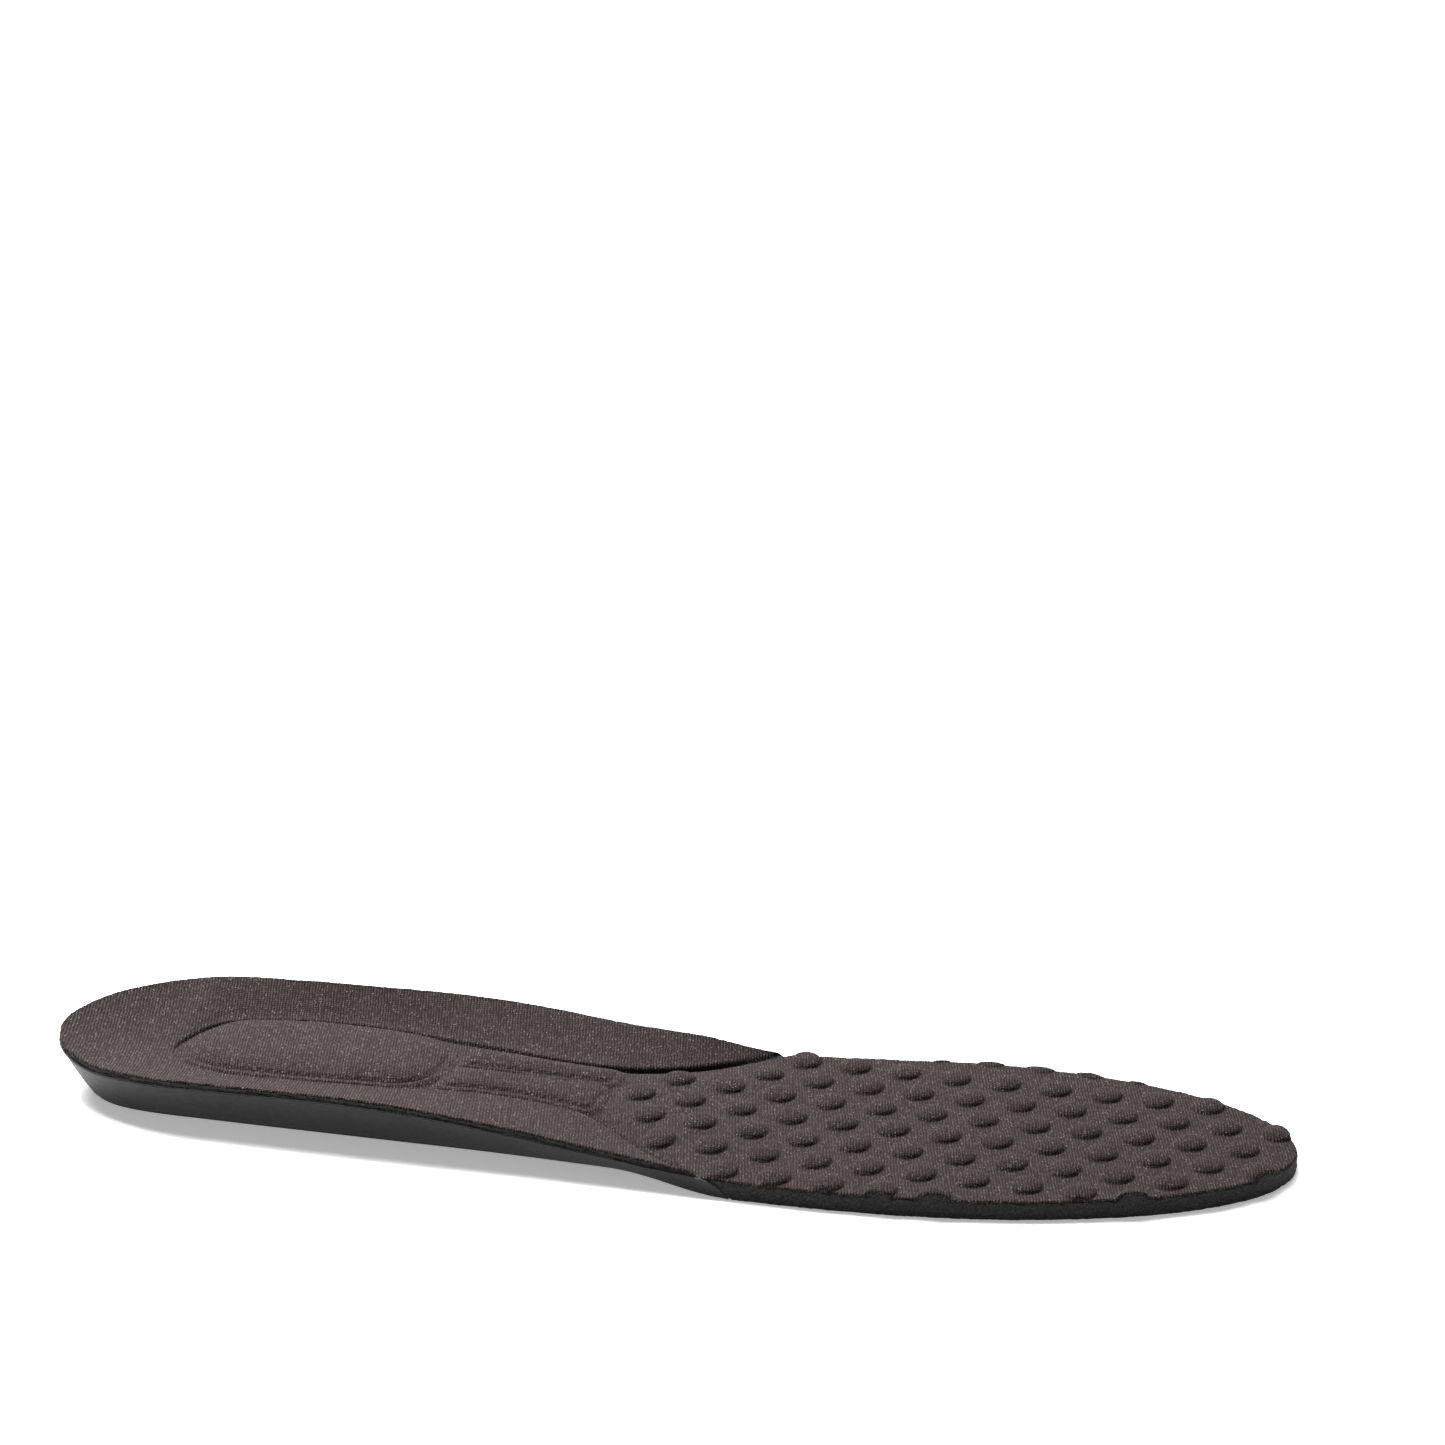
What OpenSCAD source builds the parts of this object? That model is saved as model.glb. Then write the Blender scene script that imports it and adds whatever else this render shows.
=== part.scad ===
// Cushioned insole for a right shoe: toe towards +X, arch side towards +Y, sole down.
// A knit cover lies over a foam sheet. Under the heel and arch a moulded base lifts
// the sheet into a shallow cup. A heel pad, two arch bars, a U-shaped collar and rows
// of massage domes are foam pieces held between the sheet and the cover.
//
// Every layer is drawn on one grid. Its rows cross the insole at chosen stations from
// heel to toe, and its columns run along the insole on the edges of the raised pieces,
// so neighbouring pieces meet face to face.

/* [Plan size] */
// Length from heel to toe
insole_length = 270; // [220:5:310]
// Width across the ball of the foot
ball_width = 86; // [76:1:100]

/* [Layers] */
// Thickness of the knit cover
cover_t = 0.5; // [0.4:0.1:1]
// Height of the forefoot's cloth surface above the floor
forefoot_top = 4.1; // [3:0.1:6]
// Thickness of the foam sheet where it lies on the heel base
heel_sheet_t = 0.5; // [0.4:0.1:1.2]

/* [Heel cup] */
// Height of the heel and arch above the forefoot, as a share of the drawn height
cup_share = 1; // [0.8:0.05:1.2]
// How far the base's foot is set in from the rim
base_inset = 8; // [4:0.5:10]

/* [Raised pieces] */
// Thickness of the collar at its inner edge
collar_t = 0.8; // [0.6:0.1:1.2]
// Thickness of the collar at the rim
collar_rim_t = 0.45; // [0.3:0.05:0.8]
// Height of the heel pad above the groove
pad_raise = 2.8; // [1:0.1:3.5]
// Height of the arch bars above the groove
bar_raise = 2; // [1:0.1:3]

/* [Massage domes] */
// Spacing of the domes along a row
dome_pitch = 11.3; // [10:0.1:13]
// Spacing of the rows
row_pitch = 11.5; // [10:0.1:13]
// Size of a dome along the insole, under the cover
dome_len = 6; // [5:0.1:8]
// Size of a dome across the insole, under the cover
dome_wide = 8.4; // [6:0.1:9.5]
// Height of a dome above the foam sheet
dome_high = 1.5; // [1:0.1:3]

/* [Hidden] */

cloth_colour = "#4a3f3c";
foam_colour = "#26272a";
base_colour = "#3a3d42";
pad_colour = "#5c6168";
dome_colour = "#70757c";

// The plan below is drawn at this size and stretched to the size asked for.
drawn_length = 270;
drawn_width = 86;
drawn_forefoot_top = 4.1;
kx = insole_length / drawn_length;
ky = ball_width / drawn_width;

// Plan: [x, half width] between the two rounded ends, which are parts of ellipses
HALF_WIDTH = [[-99, 33.6], [-60, 33.7], [-30, 34], [0, 36], [25, 39.2], [45, 41.2], [57, 41.6]];
heel_end = -135;
heel_round_x = -99;
toe_end = 135;
toe_round_x = 57;
least_half_width = 2;
// Plan: [x, y] of the middle line, which swings to the arch side at the toe
MIDDLE = [
    [-135, -13.8], [-125, -10.6], [-110, -8.5], [-80, -8], [-30, -7.1],
    [0, -6], [30, -3.2], [60, 1], [90, 4.7], [115, 7.2], [135, 8.8]
];

// Inner edge of the collar on the outer side and on the arch side of the foot
COLLAR_OUTER = [
    [-111.5, -10.6], [-110.5, -13.2], [-108.5, -16], [-106.4, -18.2], [-102.9, -20.5],
    [-97.4, -22], [-90, -22.6], [-60, -21.6], [-48, -19.6], [-30, -18], [-20, -18.9],
    [-12, -20.8], [-4, -27.5], [3, -34], [13, -40.6]
];
COLLAR_ARCH = [
    [-111.5, -7], [-110.8, -3], [-110, 0.5], [-108, 5.6], [-105.2, 8.8], [-102, 11],
    [-95, 13.2], [-86, 14.2], [-70, 13.4], [-50, 10.2], [-28, 7.6], [-15, 9.6], [-5, 14.5],
    [2, 19], [8, 24.5], [13, 29.5]
];
// Foot of the heel pad, and further on of the two arch bars
PAD_OUTER = [
    [-111.5, -9.8], [-109.5, -11.3], [-105.6, -16.6], [-102.4, -18.9], [-97.2, -20.4],
    [-90, -20.9], [-70, -21.1], [-55, -19.8], [-50.6, -18.6], [-48.6, -18], [-30, -16.4],
    [-13.4, -18.2]
];
PAD_ARCH = [
    [-111.5, -7.8], [-109.5, -6.8], [-108.5, -1], [-107.3, 2.5], [-103.9, 8.2],
    [-96.5, 11.2], [-86, 12.4], [-70, 11.9], [-55, 8.9], [-50.6, 7.6], [-48.6, 7],
    [-30, 5.8], [-13.4, 7]
];
// Edges of the groove between the bars
BAR_GROOVE_OUTER = [[-111.5, -9.1], [-109.5, -9.6], [-100, -5.6], [-48.6, -5.4], [-13.4, -4.1]];
BAR_GROOVE_ARCH = [[-111.5, -8.5], [-109.5, -8.6], [-100, -4.4], [-48.6, -4], [-13.4, -2.2]];
wall_w = 1;
groove_w = 1;
foot_raise = 0.3;

// Side view: [x, height] of the groove floor, and of the panel in front of the bars
BED = [
    [-111, 5.8], [-97, 5.9], [-90, 6.1], [-75, 6.5], [-60, 6.8], [-45, 6.8], [-38, 6.7],
    [-29, 6.3], [-18, 5.8], [-7, 5.7], [4, 5.6], [10, 5.3], [16, 5], [24, 4.4], [31, 4.1]
];
// The panel dips towards its edges: [x, height] of them, and how wide the dip is
PANEL_EDGE = [[-20, 5.7], [-10, 4.8], [-2, 4.3], [5, 4.1]];
panel_dip_x = [-22, -12];
panel_dip_w = 9;
// Side view: [x, height] of the rim, which comes down to the forefoot past the arch
RIM_OUTER = [
    [-135, 12.9], [-130, 11.8], [-122, 10.8], [-110, 11.1], [-90, 11.5], [-65, 11.8],
    [-48, 11.2], [-30, 9.7], [-15, 8.2], [0, 6.8], [12, 5.5], [20, 4.4], [26, 4.1]
];
RIM_ARCH = [
    [-135, 12.9], [-120, 12.3], [-102, 12.2], [-84, 12.7], [-60, 13.1], [-46, 12.75],
    [-30, 11.4], [-19, 10.05], [0, 8.1], [10, 6], [18, 4.7], [26, 4.1]
];
// How the cup steepens towards the rim: 1 is straight
cup_power = 1.25;

// The base's wall stands upright at lean_to and leans in fully from lean_from back
lean_from = -6;
lean_to = 23;
// The foot bulges at the heel's two round corners, as a share of its size
foot_bulge = 0.09;
// The base is skived to a thin edge: [x, height] of the cut
SKIVE = [[19.6, 3.1], [23, 0.4]];

// Stations across the insole, and the ones where pieces begin and end
collar_x = -111.5;
groove_x = -110.5;
pad_rear_x = -109.5;
pad_front_x = -50.6;
bar_rear_x = -48.6;
bar_front_x = -13.4;
panel_x = -11;
wing_x = 13;
base_x = 23;
STATIONS = [
    heel_end, -134.2, -132.4, -129.5, -125.5, -120.5, -116, collar_x, groove_x,
    pad_rear_x, pad_rear_x + wall_w, -107, -104.5, -101, -96, -90, -82, -74, -66, -58, pad_front_x - wall_w, pad_front_x,
    bar_rear_x, bar_rear_x + wall_w, -40, -31, -22, bar_front_x - wall_w, bar_front_x,
    panel_x, -7, -3, 1, 5, 9, wing_x, 19.6, base_x, 24, 32, 40, 50, 60, 70, 80, 89, 97,
    104, 110, 115, 119.5, 123.5, 127, 130, 132.4, 134.1, toe_end
];
pad_ends = [pad_rear_x, pad_front_x];
bar_ends = [bar_rear_x, bar_front_x];
// Columns along the insole, numbered from the outer rim to the arch rim
last_col = 17;
collar_cols = [2, 15];
groove_cols = [3, 14];
foot_cols = [4, 13];
bar_groove_cols = [8, 9];
// Where the columns' features fade in behind the heel and out past the wings
feature_fade = [-128, collar_x, wing_x, 50];

// First dome of row 1, how far each later row is moved back, and which domes each has
dome_start = [28.6, 42.5];
row_shift = 6.05;
// Row 1 lies over the rim: how much further out, and how high next to the others
row_1_out = 2.5;
row_1_high = 0.6;
ROW_FIRST = [1, 0, 0, -1, -1, 0, 1, 3];
ROW_LAST = [6, 8, 10, 10, 11, 10, 10, 7];
dome_sides = 8;
trim = 0.05;
tall = 30;

function clamp01(t) = max(0, min(1, t));
function ease(t) = let(c = clamp01(t)) c * c * (3 - 2 * c);
function mix(a, b, t) = a + (b - a) * t;

// The value at x on a smooth curve through [x, value] knots, level past its ends
function on_curve(x, knots) =
    let(
        n = len(knots),
        i = max([for (k = [0:n - 2]) if (k == 0 || knots[k].x <= x) k]),
        a = knots[i],
        b = knots[i + 1],
        h = b.x - a.x,
        before = i > 0 ? knots[i - 1] : a,
        after = i + 2 < n ? knots[i + 2] : b,
        slope_a = (b.y - before.y) / (b.x - before.x) * h,
        slope_b = (after.y - a.y) / (after.x - a.x) * h,
        t = clamp01((x - a.x) / h)
    )
    a.y + t * slope_a
    + t * t * (3 * (b.y - a.y) - 2 * slope_a - slope_b)
    + t * t * t * (2 * (a.y - b.y) + slope_a + slope_b);

function round_end(past, size) = sqrt(max(0, 1 - pow(max(0, past / size), 2)));
function half_width(x) =
    max(least_half_width,
        on_curve(x, HALF_WIDTH)
        * round_end(heel_round_x - x, heel_round_x - heel_end)
        * round_end(x - toe_round_x, toe_end - toe_round_x));
function middle(x) = on_curve(x, MIDDLE);

// How much the columns follow the raised pieces' edges, from 0 to 1
function feature_share(x) =
    ease((x - feature_fade[0]) / (feature_fade[1] - feature_fade[0]))
    * ease((feature_fade[3] - x) / (feature_fade[3] - feature_fade[2]));

// The y of each column at x where the raised pieces are
function feature_columns(x) =
    let(
        rim = [middle(x) - half_width(x), middle(x) + half_width(x)],
        collar = [on_curve(x, COLLAR_OUTER), on_curve(x, COLLAR_ARCH)],
        foot = [on_curve(x, PAD_OUTER), on_curve(x, PAD_ARCH)],
        groove = [on_curve(x, BAR_GROOVE_OUTER), on_curve(x, BAR_GROOVE_ARCH)],
        edge_w = min(groove_w, (foot[0] - collar[0]) / 2),
        wall = min(wall_w, (groove[0] - foot[0]) / 4)
    )
    [
        rim[0], mix(rim[0], collar[0], 0.5), collar[0], collar[0] + edge_w,
        foot[0], foot[0] + wall, mix(foot[0], groove[0], 0.5), groove[0] - wall, groove[0],
        groove[1], groove[1] + wall, mix(foot[1], groove[1], 0.5), foot[1] - wall, foot[1],
        collar[1] - edge_w, collar[1], mix(rim[1], collar[1], 0.5), rim[1]
    ];

// The grid's plan: a point for each station and column
PLAN = [
    for (x = STATIONS)
        let(cols = feature_columns(x), share = feature_share(x))
        [for (j = [0:last_col])
            [x, mix(middle(x) + half_width(x) * (2 * j / last_col - 1), cols[j], share)]]
];

// A height of the side view, at the size asked for
function side_height(x, knots) =
    forefoot_top + (on_curve(x, knots) - drawn_forefoot_top) * cup_share;

// How far a point is from the middle line: 1 at the rim
function round_share(x, y) =
    norm([max(0, heel_round_x - x) / (heel_round_x - heel_end),
        (y - middle(x)) / on_curve(x, HALF_WIDTH)]);

// How far a point is up the side of the cup: 0 at the collar's inner edge, 1 at the rim
function up_side(p, j) =
    let(
        edge = on_curve(p.x, p.y < middle(p.x) ? COLLAR_OUTER : COLLAR_ARCH),
        inner = p.x < collar_x ? round_share(collar_x, middle(collar_x)) : round_share(p.x, edge)
    )
    p.x > wing_x ? (j == 0 || j == last_col ? 1 : 0)
    : clamp01((round_share(p.x, p.y) - inner) / (1 - inner));

// The height of the cloth in the groove and on the panel in front of the bars
function bed(p) =
    let(
        from_edge = min(p.y - on_curve(p.x, COLLAR_OUTER), on_curve(p.x, COLLAR_ARCH) - p.y),
        dip = ease((p.x - panel_dip_x[0]) / (panel_dip_x[1] - panel_dip_x[0]))
            * (1 - ease(from_edge / panel_dip_w))
    )
    mix(side_height(p.x, BED), side_height(p.x, PANEL_EDGE), dip);

// The collar thins out towards the rim, and to next to nothing at the tips of its wings
function collar_at(x, up) = mix(collar_t, collar_rim_t, up) * clamp01((13.6 - x) / 8);

// The height of the cloth without the raised pieces and the collar
function sheet_top(p, j) =
    let(
        across = (p.y - middle(p.x)) / half_width(p.x) / 2 + 0.5,
        rim = mix(side_height(p.x, RIM_OUTER), side_height(p.x, RIM_ARCH), across),
        floor_z = bed(p)
    )
    floor_z + (rim - collar_at(p.x, 1) - floor_z) * pow(up_side(p, j), cup_power);

function between(v, ends) = v >= ends[0] && v <= ends[1];
function in_loop(x, j) = x >= groove_x && between(j, groove_cols);

// How far the pad or a bar stands above the groove floor: a low foot all round, and
// the full height from one wall's width inside it
function inside_by(x, j, ends, cols, w) =
    between(x, [ends[0] + w, ends[1] - w])
    && between(j, [cols[0] + (w > 0 ? 1 : 0), cols[1] - (w > 0 ? 1 : 0)]);
function form_raise(x, j, ends, cols, height) =
    inside_by(x, j, ends, cols, wall_w) ? height : inside_by(x, j, ends, cols, 0) ? foot_raise : 0;
function piece_raise(x, j) =
    max(
        form_raise(x, j, pad_ends, foot_cols, pad_raise),
        form_raise(x, j, bar_ends, [foot_cols[0], bar_groove_cols[0]], bar_raise),
        form_raise(x, j, bar_ends, [bar_groove_cols[1], foot_cols[1]], bar_raise)
    );
function cloth_top(p, j) =
    sheet_top(p, j) + (in_loop(p.x, j) ? piece_raise(p.x, j) : collar_at(p.x, up_side(p, j)));

function base_top(p, j) =
    let(under_sheet = sheet_top(p, j) - cover_t - heel_sheet_t)
    p.x > base_x ? 0 : p.x < SKIVE[0].x ? under_sheet : min(under_sheet, lookup(p.x, SKIVE));

// A point of the sole: the wall above it leans in round the heel and arch
function sole_point(p) =
    let(
        share = ease((lean_to - p.x) / (lean_to - lean_from)),
        back = max(0, heel_round_x - p.x) / (heel_round_x - heel_end),
        side = (p.y - middle(p.x)) / on_curve(p.x, HALF_WIDTH),
        round_by = back > 0 ? 2 * back * side / (back * back + side * side) : 0,
        k = (1 - base_inset * share / on_curve(p.x, HALF_WIDTH))
            * (1 + foot_bulge * round_by * round_by),
        x = p.x < heel_round_x ? mix(heel_round_x, p.x, k) : p.x
    )
    [x, mix(middle(p.x), p.y, k), 0];

function stretched(p) = [p.x * kx, p.y * ky, p.z];
function grid_surface(height) =
    [for (row = PLAN) [for (j = [0:last_col]) [row[j].x, row[j].y, height(row[j], j)]]];

CLOTH = grid_surface(function(p, j) cloth_top(p, j));
CLOTH_UNDER = grid_surface(function(p, j) cloth_top(p, j) - cover_t);
SHEET_TOP = grid_surface(function(p, j) sheet_top(p, j) - cover_t);
SHEET_UNDER = [for (row = PLAN) [for (j = [0:last_col])
    row[j].x > base_x ? sole_point(row[j]) : [row[j].x, row[j].y, base_top(row[j], j)]]];
SOLE = [for (row = PLAN) [for (j = [0:last_col]) sole_point(row[j])]];
MID_CLOTH = grid_surface(function(p, j) sheet_top(p, j) - cover_t / 2);
BELOW = grid_surface(function(p, j) -1);

// A solid between two surfaces of the grid, over the cells where inside(i, j) is true
module layer(top, under, inside) {
    rows = len(PLAN);
    cols = last_col + 1;
    count = rows * cols;
    function has(i, j) = i >= 0 && j >= 0 && i < rows - 1 && j < last_col && inside(i, j);
    function at(i, j) = i * cols + j;
    function wall(a, b) = [[a, b, b + count], [a, b + count, a + count]];
    polyhedron(
        points = [for (s = [top, under], row = s, p = row) stretched(p)],
        faces = [for (i = [0:rows - 2], j = [0:last_col - 1]) if (has(i, j))
            let(a = at(i, j), b = at(i + 1, j), c = at(i + 1, j + 1), d = at(i, j + 1))
            each concat(
                [[a, c, b], [a, d, c]],
                [[a, b, c] + count * [1, 1, 1], [a, c, d] + count * [1, 1, 1]],
                has(i, j - 1) ? [] : wall(a, b),
                has(i + 1, j) ? [] : wall(b, c),
                has(i, j + 1) ? [] : wall(c, d),
                has(i - 1, j) ? [] : wall(d, a)
            )]
    );
}

function cell_x(i) = (STATIONS[i] + STATIONS[i + 1]) / 2;

module comfort_foam() {
    color(foam_colour) layer(SHEET_TOP, SHEET_UNDER, function(i, j) true);
}

module heel_base() {
    color(base_colour) layer(SHEET_UNDER, SOLE, function(i, j) cell_x(i) < base_x);
}

module heel_collar() {
    outside = function(j) j < collar_cols[0] || j >= collar_cols[1];
    color(foam_colour)
        layer(CLOTH_UNDER, SHEET_TOP,
            function(i, j) cell_x(i) < wing_x && (cell_x(i) < collar_x || outside(j)));
}

module heel_pad() {
    color(pad_colour)
        layer(CLOTH_UNDER, SHEET_TOP,
            function(i, j) between(cell_x(i), pad_ends)
                && between(j, [foot_cols[0], foot_cols[1] - 1]));
}

module arch_bar(first_col, end_col) {
    color(pad_colour)
        layer(CLOTH_UNDER, SHEET_TOP,
            function(i, j) between(cell_x(i), bar_ends)
                && between(j, [first_col, end_col - 1]));
}

// The insole's plan as a block, a hair inside the rim
module plan_block() {
    rows = len(PLAN);
    outer = [for (row = PLAN) stretched([row[0].x, row[0].y, 0])];
    arch = [for (i = [rows - 1:-1:0]) stretched([PLAN[i][last_col].x, PLAN[i][last_col].y, 0])];
    linear_extrude(tall)
        offset(delta = -trim)
            polygon([for (p = concat(outer, arch)) [p.x, p.y]]);
}

// A dome under the cover, or its outer shape when skin is the cover's thickness
module dome(row, i, skin) {
    x = dome_start.x - row_shift * row + dome_pitch / kx * i;
    y = dome_start.y - row_pitch / ky * row + (row == 0 ? row_1_out : 0);
    high = dome_high * (row == 0 ? row_1_high : 1);
    translate([x * kx, y * ky, bed([x, y]) - cover_t])
        hull()
            scale([dome_len / 2 + skin, dome_wide / 2 + skin, high + skin])
                sphere(r = 1, $fn = dome_sides);
}

// One row of domes, cut off at the rim and below the low grid
module dome_row_form(row, skin, low) {
    difference() {
        intersection() {
            plan_block();
            union() {
                for (i = [ROW_FIRST[row]:ROW_LAST[row]]) dome(row, i, skin);
            }
        }
        layer(low, BELOW, function(i, j) cell_x(i) > panel_x);
    }
}

module dome_row(row) {
    color(dome_colour) dome_row_form(row, 0, SHEET_TOP);
}

module top_cover() {
    rows = [0:len(ROW_FIRST) - 1];
    color(cloth_colour)
        difference() {
            union() {
                layer(CLOTH, CLOTH_UNDER, function(i, j) true);
                for (row = rows) dome_row_form(row, cover_t, MID_CLOTH);
            }
            for (row = rows, i = [ROW_FIRST[row]:ROW_LAST[row]]) dome(row, i, 0);
        }
}

top_cover();
comfort_foam();
heel_base();
heel_collar();
heel_pad();
arch_bar(bar_groove_cols[1], foot_cols[1]);  // arch_bar_medial
arch_bar(foot_cols[0], bar_groove_cols[0]);  // arch_bar_lateral
for (row = [0:len(ROW_FIRST) - 1])
    dome_row(row);
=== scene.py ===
"""The cushioned insole's looks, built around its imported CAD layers.

The CAD layers are read as a grid of stations from heel to toe and columns from the outer
rim to the arch rim. The cloth, foam and base are rebuilt from that grid at a fine pitch,
with rounded walls, grooves and domes and a rough cut edge. Lengths are in millimetres
until a mesh is made.
"""
import math

import bpy
import numpy as np
from mathutils import Matrix, Vector
from mathutils.geometry import delaunay_2d_cdt


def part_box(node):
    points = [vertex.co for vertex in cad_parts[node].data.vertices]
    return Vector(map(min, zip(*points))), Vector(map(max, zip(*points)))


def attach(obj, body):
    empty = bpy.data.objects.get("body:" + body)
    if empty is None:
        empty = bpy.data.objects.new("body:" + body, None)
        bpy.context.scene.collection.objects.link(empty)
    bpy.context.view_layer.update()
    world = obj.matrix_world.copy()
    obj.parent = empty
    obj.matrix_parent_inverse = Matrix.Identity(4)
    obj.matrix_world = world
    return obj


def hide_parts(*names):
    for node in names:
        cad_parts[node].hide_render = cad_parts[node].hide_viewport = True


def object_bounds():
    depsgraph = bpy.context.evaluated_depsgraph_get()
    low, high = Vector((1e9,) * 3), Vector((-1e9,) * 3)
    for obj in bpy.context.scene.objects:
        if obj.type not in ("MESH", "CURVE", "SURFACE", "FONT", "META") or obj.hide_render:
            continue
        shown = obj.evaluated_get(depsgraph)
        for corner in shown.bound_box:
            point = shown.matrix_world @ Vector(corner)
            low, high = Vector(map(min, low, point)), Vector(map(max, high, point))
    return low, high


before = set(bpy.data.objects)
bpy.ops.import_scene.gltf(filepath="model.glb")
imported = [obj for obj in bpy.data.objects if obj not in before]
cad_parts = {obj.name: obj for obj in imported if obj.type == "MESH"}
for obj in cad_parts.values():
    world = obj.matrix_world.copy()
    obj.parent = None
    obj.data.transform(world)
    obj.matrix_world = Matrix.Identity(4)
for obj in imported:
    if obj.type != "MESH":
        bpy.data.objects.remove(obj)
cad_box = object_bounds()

MM = 0.001

# Cloth
CLOTH_GRID = 0.56       # spacing of the cover's mesh
UNDER_GRID = 1.4        # spacing where a face is glued to another
COLLAR_WALL = 0.6       # plan width of the collar's inner wall
COLLAR_FOOT = 0.15      # how far the foot of that wall stands inside the collar's edge
PAD_WALL = 5.0          # plan width over which the heel pad's edge rounds over
PAD_CORNER = 9.0
PAD_CROWN = 0.7         # how far the pad's middle stands above its shoulders
BAR_WALL = 3.8
BAR_CORNER = 2.6
BAR_CROWN = 0.35
CROWN_WALLS = 2.2       # a crown rises over this many walls' widths
WALL_CLOTH = 0.35       # how far the cloth on a raised piece's wall carries its foot out
GROOVE_DEPTH = 0.95     # groove pressed in beside the collar's wings
GROOVE_WIDTH = 0.65
GROOVE_PLACE = 0.2      # its bottom's distance from the collar's edge
GROOVE_FADE = (-17.0, -9.0)
DOME_POWER = 0.5        # 0.5 is half an ellipsoid, 1 a paraboloid
CLOTH_SWELL = 0.07      # slow unevenness of the cloth
# Foam that the cover hides stands this far inside or below the cover's lower face
PIECE_INSET = 0.3
PIECE_DROP = 0.22
DOME_DROP = 0.12
DOME_SIDES = 24
DOME_RINGS = 6
# Cut edges
RIM_STEP = 0.42
CLOTH_RAGGED = 0.24
FOAM_RAGGED = 0.2
EDGE_ROUND = 0.22
# Base wall
WALL_ROWS = 12
WALL_CURVE = 1.22       # above 1 the wall is upright near the rim and leans in below
HEEL_ROUND_X = -99.0    # where the CAD outline's heel round begins
LIP = 0.35              # moulded lip just under the foam
FOOT_ROUND = 0.5        # height of the small round at the wall's foot
GAP = 0.02              # left between glued faces


# ---------------------------------------------------------------- curves and grids

def hermite(a, b, slope_a, slope_b, width, t):
    """A cubic from a to b over a width, at the share t of it."""
    t2, t3 = t * t, t * t * t
    return (
        a * (2 * t3 - 3 * t2 + 1) + b * (3 * t2 - 2 * t3)
        + width * (slope_a * (t3 - 2 * t2 + t) + slope_b * (t3 - t2))
    )


def slopes(t, v, keep_between=False):
    """Slopes at the knots (t, v) along the first axis; keep_between stops overshoot."""
    h = np.diff(t, axis=0)
    d = np.diff(v, axis=0) / h
    s = np.empty_like(v)
    s[0], s[-1] = d[0], d[-1]
    s[1:-1] = (d[:-1] * h[1:] + d[1:] * h[:-1]) / (h[:-1] + h[1:])
    if keep_between:
        least = 2 * np.minimum(np.abs(d[:-1]), np.abs(d[1:]))
        limited = np.sign(s[1:-1]) * np.minimum(np.abs(s[1:-1]), least)
        s[1:-1] = np.where(d[:-1] * d[1:] > 0, limited, 0)
    return s


def smooth_curve(knots, step, closed=False):
    """Points about a step apart on a smooth curve through the knots, measured in x and y."""
    knots = np.asarray(knots, float)
    ends = 4 if closed else 0
    if closed:
        knots = np.vstack([knots[-ends:], knots, knots[:ends + 1]])
    t = np.concatenate([[0], np.cumsum(np.linalg.norm(np.diff(knots[:, :2], axis=0), axis=1))])
    column = t[:, None] * np.ones(knots.shape[1])
    tangents = slopes(column, knots)
    first, last = t[ends], t[-1 - ends]
    count = max(3, round((last - first) / step))
    at = np.linspace(first, last, count + 1)[:-1 if closed else None]
    i = np.clip(np.searchsorted(t, at, side="right") - 1, 0, len(t) - 2)
    width = (t[i + 1] - t[i])[:, None]
    share = (at - t[i])[:, None] / width
    return hermite(knots[i], knots[i + 1], tangents[i], tangents[i + 1], width, share)


def curve_distance(points, curve, closed=True):
    """Each point's distance to a polyline."""
    ends = np.roll(curve, -1, axis=0)
    count = len(curve) if closed else len(curve) - 1
    best = np.full(len(points), 1e9)
    x, y = points[:, 0], points[:, 1]
    for a, b in zip(curve[:count], ends[:count]):
        d = b - a
        t = np.clip(((x - a[0]) * d[0] + (y - a[1]) * d[1]) / max(d @ d, 1e-12), 0, 1)
        best = np.minimum(best, (x - a[0] - t * d[0]) ** 2 + (y - a[1] - t * d[1]) ** 2)
    return np.sqrt(best)


def is_inside(points, loop):
    """Which points lie in a closed polyline."""
    x, y = points[:, 0], points[:, 1]
    odd = np.zeros(len(points), bool)
    for a, b in zip(loop, np.roll(loop, -1, axis=0)):
        if a[1] != b[1]:
            crosses = (a[1] > y) != (b[1] > y)
            odd ^= crosses & (x < a[0] + (y - a[1]) * (b[0] - a[0]) / (b[1] - a[1]))
    return odd


def depth_in(points, loop, reach=1e9):
    """How far each point is inside a loop, negative outside, worked out within reach."""
    near = ((points > loop.min(0) - reach) & (points < loop.max(0) + reach)).all(1)
    depth = np.full(len(points), -1e9 if reach >= 1e9 else -reach)
    found = points[near]
    distance = curve_distance(found, loop)
    depth[near] = np.where(is_inside(found, loop), distance, -distance)
    return depth


def ease(t):
    """t held to 0..1 and smoothed at both ends."""
    t = np.clip(t, 0, 1)
    return t * t * (3 - 2 * t)


def node_points(name):
    """A CAD node's distinct corners."""
    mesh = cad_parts[name].data
    co = np.empty(3 * len(mesh.vertices), np.float32)
    mesh.vertices.foreach_get("co", co)
    return np.unique((co.reshape(-1, 3).astype(float) / MM).round(2), axis=0)


def node_rows(name):
    """A CAD layer's stations, each as (x, y, low, high) rows from the outer side across."""
    points = node_points(name)
    rows = []
    for x in np.unique(points[:, 0].round(1)):
        row = points[np.abs(points[:, 0] - x) < 0.06]
        pairs = row[np.argsort(row[:, 1], kind="stable")].reshape(-1, 2, 3)
        low, high = pairs[:, :, 2].min(1), pairs[:, :, 2].max(1)
        rows.append(np.column_stack([pairs[:, 0, 0], pairs[:, 0, 1], low, high]))
    return rows


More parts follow.
